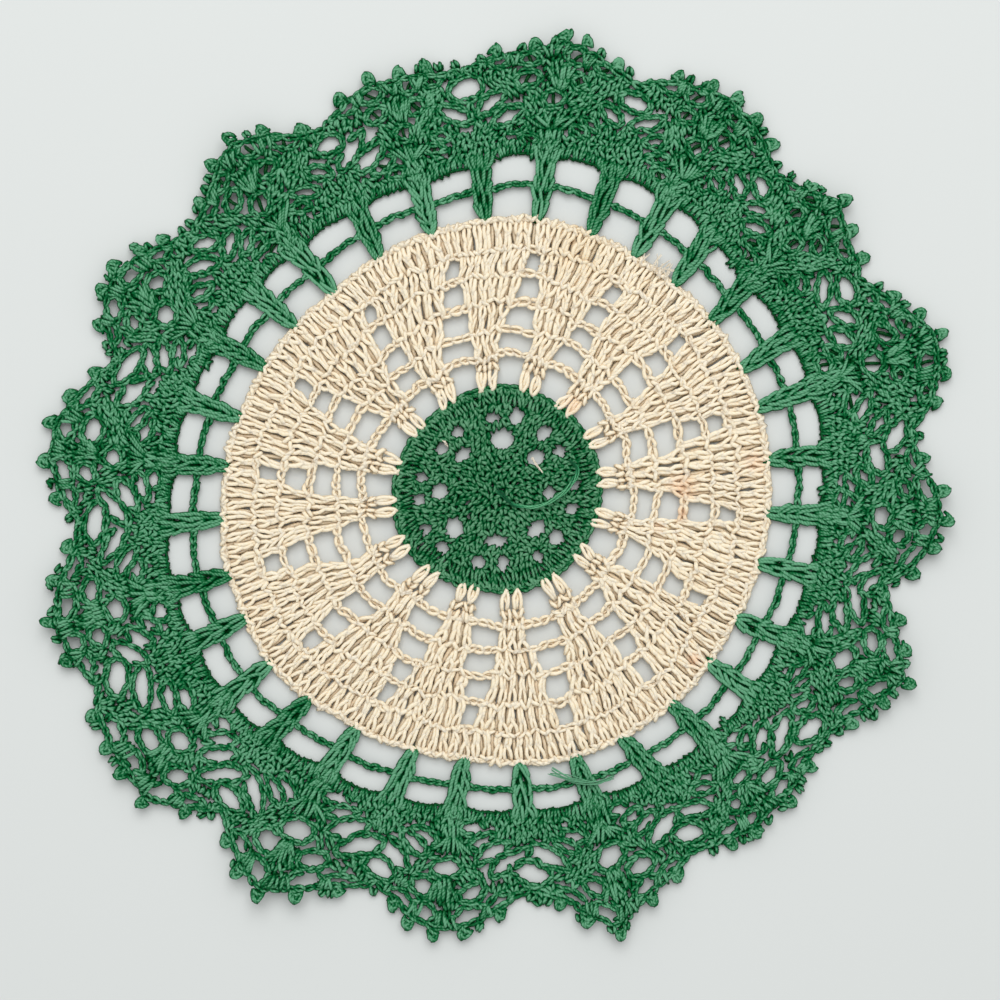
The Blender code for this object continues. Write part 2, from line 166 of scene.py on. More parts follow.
# The strands of yarn in each stitch: how many points along one, how thick, and its knots. A
# knot is across the stitch's width from -0.5 to 0.5, up from its base at 0 to its top at 1,
# and out of the crochet in yarn diameters. front strands are the stitch's front loops.
Strand = namedtuple("Strand", "front steps thick knots")


def front(steps, thick, *knots):
    return Strand(True, steps, thick, knots)


def back(steps, thick, *knots):
    return Strand(False, steps, thick, knots)


stitchShapes = {
    "double": (
        front(6, 1.25, (0, -0.1, -0.45), (-0.12, 0.1, 0.2), (-0.18, 0.36, 0.48), (-0.02, 0.62, -0.1)),
        back(6, 1.25, (0.12, -0.08, -0.5), (0.13, 0.12, 0.05), (0.16, 0.38, 0.36), (0.29, 0.66, -0.05)),
        back(6, 1.25, (0.1, 0.32, -0.15), (-0.08, 0.5, 0.5), (-0.26, 0.74, 0.52), (-0.18, 1.04, -0.3)),
        front(6, 1.25, (-0.02, 0.42, -0.25), (0.17, 0.6, 0.36), (0.28, 0.8, 0.42), (0.15, 1.04, -0.3)),
        back(2, 1.7, (0.04, 0, -0.55), (-0.04, 1, -0.55)),
    ),
    "between": (
        back(2, 2, (0, -0.02, -0.9), (0, 1.02, -0.9)),
    ),
    "tip": (
        front(9, 1.2, (0.05, -0.06, 0.1), (-0.22, 0.14, 0.42), (-0.38, 0.42, 0.42),
              (-0.36, 0.74, 0.4), (-0.16, 1.06, -0.2)),
        back(9, 1.2, (-0.05, -0.04, 0.05), (0.22, 0.16, 0.34), (0.4, 0.44, 0.38),
             (0.34, 0.76, 0.36), (0.16, 1.06, -0.15)),
        back(6, 1.24, (0.04, 0.16, -0.2), (0.1, 0.46, 0.1), (-0.14, 0.72, 0.4), (-0.04, 1, 0)),
    ),
    "post": (
        front(5, 1.12, (0.02, -0.06, -0.45), (-0.16, 0.22, 0.25), (-0.04, 0.68, 0.4),
              (0.14, 1.04, -0.4)),
    ),
    "single": (
        front(5, 1.16, (-0.4, -0.06, -0.65), (-0.34, 0.26, 0.34), (-0.18, 0.72, 0.44),
              (-0.02, 1.04, -0.6)),
        back(5, 1.16, (0.32, -0.08, -0.65), (0.33, 0.26, 0.26), (0.27, 0.68, 0.38), (0.18, 1.02, -0.6)),
        back(2, 2.1, (-0.54, 0.46, -0.75), (0.54, 0.52, -0.75)),
    ),
    "rib": (
        front(6, 1.02, (-0.26, -0.12, -0.5), (-0.27, 0.2, 0.32), (-0.24, 0.76, 0.38),
              (-0.21, 1.12, -0.35)),
        back(6, 1.02, (0.24, -0.12, -0.5), (0.25, 0.2, 0.32), (0.26, 0.76, 0.38), (0.29, 1.12, -0.35)),
        back(2, 1.4, (-0.54, 0.22, -0.5), (0.54, 0.22, -0.5)),
        back(2, 1.4, (-0.54, 0.72, -0.5), (0.54, 0.72, -0.5)),
    ),
    "edgeRib": (
        front(6, 1.04, (-0.26, -0.1, -0.6), (-0.27, 0.12, 0.2), (-0.24, 0.72, 0.4),
              (-0.21, 1.12, -0.35)),
        back(6, 1.04, (0.24, -0.1, -0.6), (0.25, 0.12, 0.2), (0.26, 0.72, 0.4), (0.29, 1.12, -0.35)),
        back(2, 1.25, (-0.56, -0.02, -0.05), (0.56, -0.02, -0.05)),
        back(2, 1.5, (-0.54, 0.6, -0.5), (0.54, 0.6, -0.5)),
    ),
    "chain": (
        front(6, 1.1, (0.02, -0.22, -0.2), (-0.36, 0.14, 0.2), (-0.38, 0.62, 0.34),
              (-0.04, 1.12, -0.02)),
        back(6, 1.1, (0.06, -0.2, -0.25), (0.38, 0.16, 0.16), (0.37, 0.66, 0.3), (0.02, 1.14, -0.05)),
        back(2, 1.2, (0, -0.05, -0.4), (0, 1.05, -0.4)),
    ),
    "head": (
        back(5, 1.26, (-0.46, -0.12, -0.2), (-0.22, 0.1, 0.4), (0.18, 0.4, 0.46), (0.46, 0.6, -0.15)),
        back(5, 1.26, (0.46, 0.38, -0.2), (0.16, 0.58, 0.36), (-0.2, 0.88, 0.42), (-0.46, 1.1, -0.2)),
    ),
    "picot": (
        front(6, 1.3, (-0.46, -0.06, 0), (-0.42, 0.4, 0.34), (-0.22, 0.76, 0.4), (0.2, 0.88, 0)),
        front(6, 1.3, (0.46, -0.06, 0), (0.43, 0.36, 0.3), (0.26, 0.72, 0.44), (-0.18, 0.92, 0.05)),
        back(5, 1.2, (-0.3, 0.56, 0), (-0.1, 0.76, 0.45), (0.14, 0.62, 0.52), (0.24, 0.3, 0.2)),
        back(5, 1.2, (-0.54, 0, 0.1), (-0.18, 0.22, 0.5), (0.2, 0.2, 0.46), (0.52, -0.02, 0.1)),
        back(5, 1.5, (-0.04, -0.1, -0.1), (-0.1, 0.26, 0.16), (-0.06, 0.56, 0.16), (0, 0.8, 0)),
    ),
}
for kind, backKind in (("post", "backPost"), ("chain", "backChain")):
    stitchShapes[backKind] = tuple(strand._replace(front=False) for strand in stitchShapes[kind])


def tierOf(low, high, lowHalf, highHalf, count, thick):
    # strands side by side from one height of a spoke to another, that lean to and fro
    strands = []
    for index in range(count):
        side = 2 * index / (count - 1) - 1
        lean = 0.06 * (-1) ** index * (1 - abs(side) * 0.8)
        start, end = side * lowHalf - lean, side * highHalf + lean
        out = 0.16 * (1 - abs(side)) * (-1) ** index
        strands.append(Strand(index % 2 == 0, 5, thick, (
            (start, low, -0.45), (blend(start, end, 0.45), blend(low, high, 0.28), 0.30 + out),
            (end, blend(low, high, 0.70), 0.42 + out), (end * 0.80, high, -0.40))))
    return strands


# The spokes, as tiers of strands: from height, to height, half widths there, how many, how
# thick. Thicker strands fill them from below.
spokeTiers = {
    "spoke": ((0, 0.3, 0.04, 0.32, 4, 1.26), (0.17, 0.46, 0.14, 0.42, 4, 1.3),
              (0.32, 0.6, 0.2, 0.42, 4, 1.32), (0.46, 0.76, 0.26, 0.43, 4, 1.34),
              (0.6, 0.9, 0.26, 0.46, 5, 1.25), (0.78, 1.06, 0.3, 0.6, 6, 1.18)),
    "wheatSpoke": ((0, 0.36, 0.05, 0.36, 4, 1.28), (0.22, 0.52, 0.18, 0.42, 3, 1.34),
                   (0.4, 0.66, 0.24, 0.43, 5, 1.22), (0.54, 0.88, 0.24, 0.44, 4, 1.36),
                   (0.76, 1.06, 0.28, 0.62, 6, 1.18)),
}
spokeFill = [back(2, 1.6, (side * low, start, -0.75), (side * high, end, -0.75))
             for side in (-1, 0, 1)
             for start, end, low, high in ((0.04, 0.5, 0.05, 0.28), (0.45, 1.02, 0.28, 0.32))]
for name, tiers in spokeTiers.items():
    stitchShapes[name] = sum([tierOf(*tier) for tier in tiers], []) + spokeFill


def curveWeights(knotCount, stepCount):
    # rows of weights that turn knots into evenly numbered points on a Catmull-Rom curve
    weights = np.zeros((stepCount, knotCount + 2))
    for step in range(stepCount):
        place = step / (stepCount - 1) * (knotCount - 1)
        index = min(int(place), knotCount - 2)
        t = place - index
        weights[step, index:index + 4] = (-t + 2 * t ** 2 - t ** 3, 2 - 5 * t ** 2 + 3 * t ** 3,
                                          t + 4 * t ** 2 - 3 * t ** 3, -t ** 2 + t ** 3)
    ends = np.zeros((knotCount + 2, knotCount))  # the knots beyond both ends go straight on
    ends[1:-1] = np.eye(knotCount)
    ends[0, :2] = (2, -1)
    ends[-1, -2:] = (-1, 2)
    return weights @ ends / 2


# The yarn and how evenly it is worked, in yarn diameters where nothing else is said
tension = {
    "yarn": 0.92 * mm,
    "sides": 5,  # of a strand
    "backSides": 4,  # of a strand that hardly shows
    "fibreSides": 6,  # of a loose ply or fibre
    "blunt": 0.72,  # thickness of a strand's ends, as a share of its own
    "thickness": 0.05,  # spread of the thickness, as a share of it
    "slack": 0.12,  # how unevenly the yarn lies
    # how far a strand's ends stray as it turns, the half length under which they stray less,
    # and in yarn diameters the half length under which it doesn't turn
    "swing": (0.40 * mm, 1.5 * mm, 0.8),
    "raised": 0.8,  # share by which a raised stitch lifts the level of the crochet about it, from which its painted shade and highlight are measured
    "row": (0.28, 0.28, 0.05),  # how far stitches stray in a row
    "closeRow": (0.14, 0.14, 0.05),
    "heads": (0.30, 0.30, 0.10),
    "chain": (0.12, 0.12, 0.08),
    "leastWidths": (1.4, 1.6),  # of a stitch's base and top
    "headWidth": 1.9,
    "headLift": 0.1,  # spread of how far out the heads lie, and ground stitches
    "groundLift": 0.12,
    "ground": (0.35, 0.50),  # how far these swerve in radians, and half length in pitches
    "proudGround": (0.12, 0.66),  # the same for those that lie proud
    "table": 0.02 * mm,  # the lowest yarn lies this high
}


def sweep(paths, radii, sides, tones, levels):
    # closed round strands along many paths at once: their points, faces, and marks for the
    # yarn's finish. levels are the heights of the crochet's own middle; the finish paints shade
    # where a strand lies near them and paints highlight where it lies far from them.
    count, steps = paths.shape[:2]
    along = np.gradient(paths, axis=1)
    along /= norm(along, axis=2, keepdims=True) + 1e-12
    across = np.cross(along, (0.0, 0.0, 1.0))
    across /= norm(across, axis=2, keepdims=True) + 1e-9
    outward = np.cross(across, along)
    turns = 2 * pi * np.arange(sides) / sides
    ends = np.ones(steps)
    ends[[0, -1]] = tension["blunt"]
    ring = (across[:, :, None, :] * np.cos(turns)[:, None]
            + outward[:, :, None, :] * np.sin(turns)[:, None])
    points = paths[:, :, None, :] + ring * (radii[:, None] * ends)[:, :, None, None]
    lengths = norm(np.diff(paths, axis=1), axis=2)
    travelled = np.concatenate([np.zeros((count, 1)), np.cumsum(lengths, axis=1)], axis=1)
    marks = np.zeros((*points.shape[:3], 5))  # turn (2), length, tone and depth; the turn and the depth carry painted shade and highlight
    marks[..., 0] = np.cos(turns)
    marks[..., 1] = np.sin(turns)
    marks[..., 2] = travelled[:, :, None] / mm
    marks[..., 3] = tones[:, None, None]
    marks[..., 4] = (points[..., 2] - levels[:, :, None]) / tension["yarn"]
    rings = np.arange(count * steps * sides).reshape(count, steps, sides)
    low, high = rings[:, :-1], rings[:, 1:]
    quads = np.stack([low, np.roll(low, -1, 2), np.roll(high, -1, 2), high], axis=-1)
    faces = quads.reshape(-1, 4).tolist() + rings[:, 0, ::-1].tolist() + rings[:, -1].tolist()
    return points.reshape(-1, 3), faces, marks.reshape(-1, 5)


def wander(points):
    # no two hands pull every stitch alike: the crochet strays a little within its rounds
    radius = np.hypot(points[:, 0], points[:, 1])
    free = np.zeros(len(points))
    for size, inner, outer in doily["free"]:
        near = np.clip((radius - inner) / doily["fade"], 0, 1)
        free += size * near * np.clip((outer - radius) / doily["fade"], 0, 1)
    for axis, waves in enumerate(doily["stray"]):
        for size, length, angle, phase in waves:
            turn = radians(angle)
            across = points[:, 0] * cos(turn) + points[:, 1] * sin(turn)
            shift = size * mm * np.sin(across * (2 * pi / (length * mm)) + phase)
            points[:, axis] += shift * free


class Crochet:
    # gathers stitches and strands, and works them into meshes
    def __init__(self, seed):
        self.random = np.random.default_rng(seed)
        self.yarn = tension["yarn"]
        self.stitches = {}
        self.strands = []

    def uneven(self, *shape):
        return self.random.normal(size=shape).clip(-2, 2)

    def leaning(self):
        return self.random.choice((-1, 1))

    def stitch(self, kind, base, top, width, topWidth=None, slant=1.0, out=0.0):
        row = (*base, *top, width, topWidth or width, self.random.normal(), slant, out)
        self.stitches.setdefault(kind, []).append(row)

    def strand(self, path, thick, inFront=True, tone=0.0, proud=0.4):
        # one strand along a path of its own, so far proud of the crochet in yarn diameters,
        # which only sets where its painted shade and highlight fall
        self.strands.append((path, thick, inFront, tone + self.random.normal(), proud))

    def fray(self, route, thick, count, apart, tone):
        # fibres that lie along one route, a little apart
        for fibre in range(count):
            corners = route + self.random.normal(size=route.shape) * apart * (0.5, 0.5, 0.2)
            path = curveWeights(len(corners), 5 * len(corners)) @ corners
            self.strand(path, thick, False, tone, 0.85)

    def paths(self, kind, strand):
        rows = np.array(self.stitches[kind], dtype=float)
        base, top = rows[:, 0:3], rows[:, 3:6]
        baseWidth, topWidth, tone, slant, out = rows[:, 6:].T[..., None]
        rise = top - base
        side = np.cross(rise / norm(rise, axis=1, keepdims=True), (0, 0, 1))
        side /= norm(side, axis=1, keepdims=True)
        knots = np.array(strand.knots) * np.ones((len(rows), 1, 1))
        knots[..., 0] *= slant
        width = blend(baseWidth, topWidth, np.clip(knots[..., 1], 0, 1))
        places = (base[:, None] + rise[:, None] * knots[..., 1:2]
                  + side[:, None] * (knots[..., 0] * width)[..., None])
        places[..., 2] += (knots[..., 2] + out) * self.yarn
        places += self.uneven(*places.shape) * self.yarn * tension["slack"]
        half = norm(places[:, -1] - places[:, 0], axis=1) / 2
        stray, short, shortest = tension["swing"]
        swing = self.uneven(len(rows)) * stray / np.maximum(half, short)
        swing[half <= self.yarn * shortest] = 0
        fromMiddle = places[..., :2] - places[..., :2].mean(axis=1, keepdims=True)
        places[..., :2] += quarterTurn(fromMiddle) * np.sin(swing)[:, None, None]
        weights = curveWeights(knots.shape[1], strand.steps)
        # levels: the crochet's middle, from which the finish's painted shade and highlight are measured
        levels = (base[:, None, 2] + rise[:, None, 2] * knots[..., 1]) @ weights.T
        levels += np.maximum(out, 0) * self.yarn * tension["raised"]
        return weights @ places, tone[:, 0], levels

    def mesh(self, name, inFront):
        # one mesh of the front loops, or of the back loops
        parts = []
        for kind in sorted(self.stitches):
            for strand in stitchShapes[kind]:
                if strand.front == inFront:
                    paths, tones, levels = self.paths(kind, strand)
                    radii = np.full(len(paths), self.yarn / 2 * strand.thick)
                    radii *= 1 + tension["thickness"] * self.uneven(len(paths))
                    sides = tension["sides" if strand.steps > 2 else "backSides"]
                    parts.append(sweep(paths, radii, sides, tones, levels))
        for path, thick, front, tone, proud in self.strands:
            if front == inFront:
                level = np.full((1, len(path)), path[:, 2].mean() - proud * self.yarn)
                parts.append(sweep(path[None], np.array([thick / 2]), tension["fibreSides"],
                                   np.array([tone]), level))
        points, partFaces, marks = zip(*parts)
        firsts = np.cumsum([0] + [len(part) for part in points]).tolist()
        faces = [[first + corner for corner in face]
                 for first, part in zip(firsts, partFaces) for face in part]
        points, marks = np.concatenate(points), np.concatenate(marks)
        wander(points)
        points[:, 2] = np.maximum(points[:, 2], tension["table"])
        mesh = bpy.data.meshes.new(name)
        mesh.from_pydata(points.tolist(), [], faces)
        # depth and twist carry the painted shade and highlight into the finish
        for mark, kind, field, columns in (("twist", "FLOAT_VECTOR", "vector", slice(3)),
                                           ("tone", "FLOAT", "value", 3),
                                           ("depth", "FLOAT", "value", 4)):
            values = mesh.attributes.new(mark, kind, "POINT")
            values.data.foreach_set(field, marks[:, columns].ravel())
        mesh.shade_smooth()
        piece = bpy.data.objects.new(name, mesh)
        bpy.context.scene.collection.objects.link(piece)
        return piece


def rowOf(work, kind, place, base, top, count, heads=True, out=0.0):
    # a row of stitches between two lines, each given by its two ends as (angle, radius)
    lines = np.array((base, top))
    marks = np.array([[place(*blend(*line, share)) for line in lines]
                      for share in np.arange(count + 1) / count])
    loose = tension["closeRow" if kind in ("rib", "single") else "row"]
    leastWidths = work.yarn * np.array(tension["leastWidths"])
    for left, right in pairwise(marks):
        ends = (left + right) / 2 + work.uneven(2, 3) * work.yarn * loose
        widths = np.maximum(norm(right - left, axis=1), leastWidths)
        work.stitch(kind, *ends, *widths, work.leaning(), out)
    if kind == "double":
        for mark in marks[1:-1]:
            work.stitch("between", *mark, work.yarn)
    if heads:
        headsOf(work, marks[:, 1])


def headsOf(work, marks):
    # the tops of a row of stitches, from mark to mark
    for start, end in pairwise(marks):
        shift = work.uneven(3) * work.yarn * tension["heads"]
        work.stitch("head", start + shift, end + shift, work.yarn * tension["headWidth"],
                    slant=work.leaning(), out=work.random.normal() * tension["headLift"])


def roundOf(work, kind, sizes, lean=0, heads=False, out=0.0):
    # a whole round of stitches: its two radii in millimetres, and how many
    low, high, count = sizes
    rowOf(work, kind, onRound, ((0, low), (360, low)), ((lean, high), (360 + lean, high)),
          count, heads, out)


def evenly(line, pitch, least=1):
    # points about a pitch apart along a line, with so many stitches at least
    travelled = np.concatenate([[0], np.cumsum(norm(np.diff(line, axis=0), axis=1))])
    count = max(least, round(travelled[-1] / pitch))
    marks = np.linspace(0, travelled[-1], count + 1)
    return np.stack([np.interp(marks, travelled, column) for column in line.T], axis=1)


def chainOf(work, place, corners, pitch, width, out=0.0, kind="chain"):
    # chain stitches along a line through (angle, radius) corners
    line = evenly(np.array([place(*corner) for corner in corners]), pitch)
    line += work.uneven(*line.shape) * work.yarn * tension["chain"]
    for start, end in pairwise(line):
        work.stitch(kind, start, end, width, out=out)


def lastRound(work, radius, pitch, width, out, kind="chain"):
    chainOf(work, onRound, [(angle, radius) for angle in range(0, 361, 4)], pitch, width, out, kind)


# An opening among stitches: its middle, and its half width and half height as vectors
Opening = namedtuple("Opening", "middle halfWidth halfHeight")


def rimsNear(points, openings):
    # for each point how far it is outside the nearest opening, the middle of that one, the way
    # from there to the rim, how long that is, and the rim's own direction
    middles = np.array([opening.middle for opening in openings])
    forward = np.array([np.stack(opening[1:], axis=1) for opening in openings])
    local = np.einsum("hij,phj->phi", inv(forward), points[:, None] - middles)
    size = norm(local, axis=2)
    unit = local / size[..., None]
    reach = norm(np.einsum("hij,phj->phi", forward, unit), axis=2)
    away = (size - 1) * reach
    nearest = np.argmin(away, axis=1)
    rows = np.arange(len(points))
    unit = unit[rows, nearest]
    rim = np.einsum("pij,pj->pi", forward[nearest], unit)
    tangent = np.einsum("pij,pj->pi", forward[nearest], quarterTurn(unit))
    tangent /= norm(tangent, axis=1, keepdims=True)
    return away[rows, nearest], middles[nearest], rim, reach[rows, nearest], tangent


def settle(points, fixed, openings, pitch, margin, kept=0.95, near=1.7, push=0.30):
    # moves stitches apart and out of the openings, until they lie evenly, and gives with them
    # how far away the nearest rim is and its direction. kept and near are in pitches: how far
    # inside the margin a stitch may begin, and how near its neighbours are.
    fixed = np.array(fixed)
    points = points[rimsNear(points, openings)[0] > margin - kept * pitch]
    for turn in range(30):
        everything = np.concatenate([points, fixed])
        if turn % 6 == 0:
            gap = everything[:, None] - everything
            close = (gap ** 2).sum(axis=2) < (near * pitch) ** 2
            left, right = np.nonzero(np.triu(close, 1))
        apart = everything[left] - everything[right]
        length = norm(apart, axis=1)
        shove = apart / length[:, None] * np.maximum(pitch - length, 0)[:, None] * push
        shift = np.zeros_like(everything)
        np.add.at(shift, left, shove)
        np.add.at(shift, right, -shove)
        points += shift[:len(points)]
        away, middles, rim, reach, tangent = rimsNear(points, openings)
        inside = away < margin
        points[inside] = (middles + rim * (1 + margin / reach)[:, None])[inside]
    return points, away, tangent


def fillWith(work, ground, pitch):
    # single crochet at settled points, each worked in its own direction
    for point, direction, height, slant, out in zip(*ground):
        swerve, half = tension["proudGround" if out > 0 else "ground"]
        turn = work.random.normal() * swerve
        direction = direction * cos(turn) + quarterTurn(direction) * sin(turn)
        shift = work.random.normal() * work.yarn * tension["groundLift"]
        base = (*(point - direction * (pitch * half)), height + shift)
        top = (*(point + direction * (pitch * half)), height + shift)
        work.stitch("single", base, top, pitch * 1.02, slant=slant, out=out)


# The green middle. Rounds are low radius, high radius and how many stitches, in millimetres.
middle = {
    "seed": 11,
    "pitch": 1.86 * mm,
    "margin": 1.10 * mm,  # how far its stitches keep from an eyelet's rim
    "rimWidth": 1.3 * mm,  # stitches this near a rim turn along it
    "stray": 0.35,  # how far stitches stray from their rounds, in pitches
    "coreRounds": (1.1, 2.8, 4.5, 6.2, 7.9, 9.6, 11.3, 13.0, 14.7, 16.3, 17.9, 19.5, 21.0),
    "start": 2 * mm,  # the stitches inside this radius lie round the start
    "coreEdge": (22.3, 76),  # the ribs hold the core in with so many stitches
    "ribs": (21.6, 24.6, 70),
    "rim": (24.0, 26.2, 82),
    "lastRound": (26.2, 2.0 * mm, 1.15 * mm, 0.1, "backChain"),  # its pitch, width, lift, kind
}

# The eyelets: angle, and in millimetres radius, width and height
eyelets = (
    (-4, 13.6, 3, 3.4), (38, 12.9, 4.2, 4.6), (85.5, 12.9, 6.2, 5.6), (135, 13.4, 5, 3.2),
    (183, 14.8, 4, 4.4), (222, 14.4, 5.2, 4.6), (269, 13.5, 5.6, 2.9), (313, 14, 5, 3.8),
    (1.5, 20, 2.8, 2.6), (30, 18.8, 3.2, 2.8), (49.4, 18.9, 3.8, 3.8), (75, 19.6, 3.6, 4),
    (94.3, 18.5, 3.9, 3), (124.8, 18.9, 3.2, 2.8), (144, 18.5, 3.5, 2.9), (172, 19.8, 2.6, 3),
    (188.5, 20.1, 2.8, 3.1), (210, 20.4, 2.8, 3), (227, 20.2, 3.4, 3.5), (255.5, 19.5, 3.5, 3.4),
    (274.7, 19.2, 3, 3.8), (301, 20, 2.9, 3), (320, 19.5, 4.2, 3.6), (345, 20, 2.8, 3.1),
)


def eyeletOpening(angle, radius, width, height):
    centre = onRound(angle, radius)[:2]
    outward = centre / norm(centre)
    return Opening(centre, quarterTurn(outward) * (width * mm) / 2, outward * (height * mm) / 2)


def workMiddle():
    work = Crochet(middle["seed"])
    pitch = middle["pitch"]
    points = []
    for turn, radius in enumerate(middle["coreRounds"]):
        count = max(4, round(2 * pi * radius * mm / pitch))
        for index in range(count):
            points.append(onRound((index + 0.5 * (turn % 2)) * 360 / count, radius)[:2])
    points = np.array(points)
    points += work.uneven(*points.shape) * pitch * middle["stray"]
    radius, count = middle["coreEdge"]
    fixed = [onRound(index * 360 / count, radius)[:2] for index in range(count)]
    openings = [eyeletOpening(*eyelet) for eyelet in eyelets]
    points, away, tangents = settle(points, fixed, openings, pitch, middle["margin"])
    outward = points / norm(points, axis=1, keepdims=True)
    near = (away < middle["rimWidth"]) & (np.abs((tangents * outward).sum(axis=1)) > 0.5)
    directions = np.where(near[:, None], tangents, outward)
    start = np.hypot(*points.T) < middle["start"]
    directions[start] = quarterTurn(outward)[start]
    slants = work.random.choice((-1, 1), size=len(points))
    heights = [heightAt(point) for point in points]
    fillWith(work, (points, directions, heights, slants, np.zeros(len(points))), pitch)
    roundOf(work, "rib", middle["ribs"], lean=1)
    roundOf(work, "single", middle["rim"], lean=2, out=0.15)
    lastRound(work, *middle["lastRound"])
    return work


# The ecru band. Radii are in millimetres, angles in degrees.
band = {
    "seed": 23,
    "bars": (34.8, 41.6, 48.4, 55.4, 62.4),  # radii of the chain bars
    "bar": (1, 0.3, 2.5 * mm, 1.8 * mm),  # overlap, bow, and its chain's pitch and width
    "gapWidths": (8.0, 7.2, 6.4, 4.6, 2.8),  # of each row of gaps, between the stitches
    "stitches": (3, 4, 6, 8),  # in a wedge, from bar to bar
    "columnsFrom": 26.7,  # where the columns of gaps begin
    "foot": 25.9,
    "tips": (3.2, 2.1 * mm),  # from a wedge's middle to a tip, and how wide that is
    "necks": (2.9, -4.0),  # to where a tip ends, and how far outside the first bar
    "knots": (2.7, (-1.8, 0.5), 2.9 * mm),  # to the knots on it, where and how wide
    "firstHeads": ((-1, -0.3, 0.35, 1), 4.6, 0.35),  # their places, half width and stray
    "rim": (62.3, 69.9, 154),
    "lastRound": (70.1, 2.3 * mm, 0.8 * mm, -0.15),
    "lint": ((((9.2, 8.1, 2.5), (10.2, 6.2, 2.9), (11.2, 4.5, 2.6)), 0.42 * mm),
             (((-14.2, 12.3, 2.5), (-13.4, 11.7, 2.9), (-13.2, 10.9, 2.5)), 0.36 * mm)),
    "lintFibres": (4, 0.5 * mm, 6.0),  # how many, how far apart, how pale
    "wisps": (50.5, 57.5, 14),  # the angles between which fibres stray, and how many
    "wispFrom": (69.2, 70),
    "wispReach": (1.0, 4.4),  # beyond the band
    "wispBend": 1.6,
    "wispRise": 0.8 * mm,
    "wispFibres": (0.24 * mm, 2, 0.3 * mm, 14.0),  # how thick, how many, how far apart, how pale
}

# The columns of gaps between the wedges: their angles at the foot and at the last bar but one
bandColumns = (
    (16.5, 16.3), (37.8, 38.5), (62, 60), (84, 81.5), (108.8, 102.5), (131, 127), (156.8, 153),
    (179, 176.5), (200.4, 198.8), (221, 219.8), (241.8, 241.7), (265.8, 263.4), (289.2, 287),
    (311, 309.2), (333.2, 331.5), (354.8, 353),
)


def columnAngle(index, radius):
    turns, index = divmod(index, len(bandColumns))
    share = (radius - band["columnsFrom"]) / (band["bars"][3] - band["columnsFrom"])
    return blend(*bandColumns[index], share) + 360 * turns


def wedgeAngle(index, radius):
    return (columnAngle(index, radius) + columnAngle(index + 1, radius)) / 2


def workTips(work, index):
    # the two tips of a wedge, the knots on them, and the heads under its first row
    bar = band["bars"][0]
    foot, top = wedgeAngle(index, band["foot"]), wedgeAngle(index, bar)
    for side in (-1, 1):
        aside, width = band["tips"]
        tip = onRound(foot + side * aside, band["foot"])
        aside, outside = band["necks"]
        end = onRound(top + side * aside, bar + outside)
        work.stitch("tip", tip, end, width, slant=work.leaning(), out=0.35)
        aside, places, width = band["knots"]
        for outside in places:
            start, end = end, onRound(top + side * aside, bar + outside)
            work.stitch("single", start, end, width, slant=work.leaning(), out=0.15)
    places, aside, stray = band["firstHeads"]
    headsOf(work, [onRound(top + place * aside, bar + work.random.normal() * stray)
                   for place in places])


def workBand():
    work = Crochet(band["seed"])
    for index in range(len(bandColumns)):
        workTips(work, index)
        for (low, high), width, count in zip(pairwise(band["bars"]), band["gapWidths"][1:],
                                             band["stitches"]):
            lines = [((columnAngle(index, radius) + degrees(width / 2 / radius), radius),
                      (columnAngle(index + 1, radius) - degrees(width / 2 / radius), radius))
                     for radius in (low, high)]
            rowOf(work, "double", onRound, *lines, count)
        overlap, bow, pitch, width = band["bar"]
        for radius, gapWidth in zip(band["bars"], band["gapWidths"]):
            angle = columnAngle(index, radius)
            half = degrees(gapWidth / 2 / radius)
            chainOf(work, onRound, ((angle - half - overlap, radius), (angle, radius + bow),
                                    (angle + half + overlap, radius)), pitch, width)
    roundOf(work, "double", band["rim"], heads=True)
    lastRound(work, *band["lastRound"])
    for route, width in band["lint"]:
        work.fray(np.array(route) * mm, width, *band["lintFibres"])
    inner, edge = band["wispFrom"]
    for angle in work.random.uniform(*band["wisps"]):
        reach = work.random.uniform(*band["wispReach"])
        bend = work.random.normal() * band["wispBend"]
        route = [onRound(angle, inner), onRound(angle + bend * 0.3, edge + reach * 0.5),
                 onRound(angle + bend, edge + reach)]
        work.fray(np.array(route) + (0, 0, band["wispRise"]), *band["wispFibres"])
    return work


